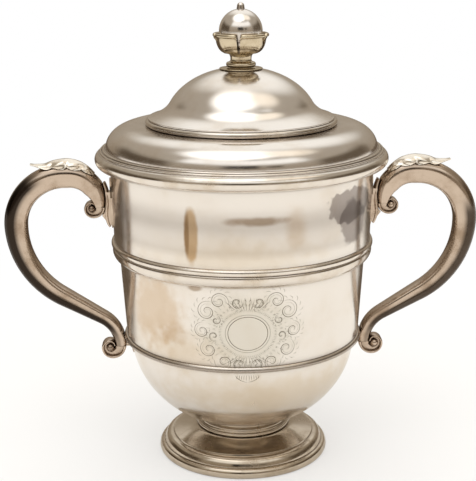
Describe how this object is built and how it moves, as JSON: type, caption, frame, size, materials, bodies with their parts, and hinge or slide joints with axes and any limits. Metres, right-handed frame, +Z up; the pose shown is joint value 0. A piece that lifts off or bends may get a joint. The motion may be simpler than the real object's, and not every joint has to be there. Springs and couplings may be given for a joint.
{
  "type": "two-handled cup with cover",
  "caption": "Polished silver presentation cup: round-bottomed body with girdle mouldings, spreading foot, scroll handles with leaf thumbpieces and a lift-off domed cover with a ball finial.",
  "frame": {"origin": "middle of the foot's resting face, on the table", "axes": "+Z up along the turning axis, +X through the right handle, the front of the cup faces -Y"},
  "size_m": [0.3138, 0.1916, 0.3033],
  "materials": {
    "cup_silver": "polished silver with light tarnish",
    "handle_silver": "polished cast silver",
    "cover_silver": "polished silver with light tarnish",
    "finial_silver": "polished cast silver, darkened in the recesses",
    "fixing_silver": "dull silver"
  },
  "bodies": {
    "cup": {"cup_body": "cup_silver", "lip_wire": "cup_silver", "upper_girdle_reed": "cup_silver", "upper_girdle_band": "cup_silver", "lower_girdle_wire": "cup_silver", "foot_collet": "cup_silver", "collet_top_wire": "cup_silver", "collet_bottom_wire": "cup_silver", "foot_dome": "cup_silver", "foot_rim": "cup_silver", "left_handle_bow": "handle_silver", "left_upper_volute": "handle_silver", "left_lower_volute": "handle_silver", "left_thumb_leaf": "handle_silver", "left_upper_spur": "handle_silver", "left_upper_plate": "handle_silver", "left_lower_stub": "handle_silver", "left_lower_plate": "handle_silver", "right_handle_bow": "handle_silver", "right_upper_volute": "handle_silver", "right_lower_volute": "handle_silver", "right_thumb_leaf": "handle_silver", "right_upper_spur": "handle_silver", "right_upper_plate": "handle_silver", "right_lower_stub": "handle_silver", "right_lower_plate": "handle_silver"},
    "cover": {"cover_shell": "cover_silver", "cover_ridge": "cover_silver", "cover_reeds": "cover_silver", "cover_rim": "cover_silver", "cover_bezel": "cover_silver", "finial_flange": "finial_silver", "finial_neck": "finial_silver", "finial_cup": "finial_silver", "finial_petals": "finial_silver", "finial_ball_lower": "finial_silver", "finial_ball_upper": "finial_silver", "finial_pip": "finial_silver", "finial_stud": "fixing_silver", "finial_washer": "fixing_silver", "finial_nut": "fixing_silver"}
  },
  "joints": [
    {"name": "cover_lift", "type": "slide", "parent": "cup", "child": "cover", "axis": [0, 0, 1], "range_m": [0, 0.15]}
  ]
}
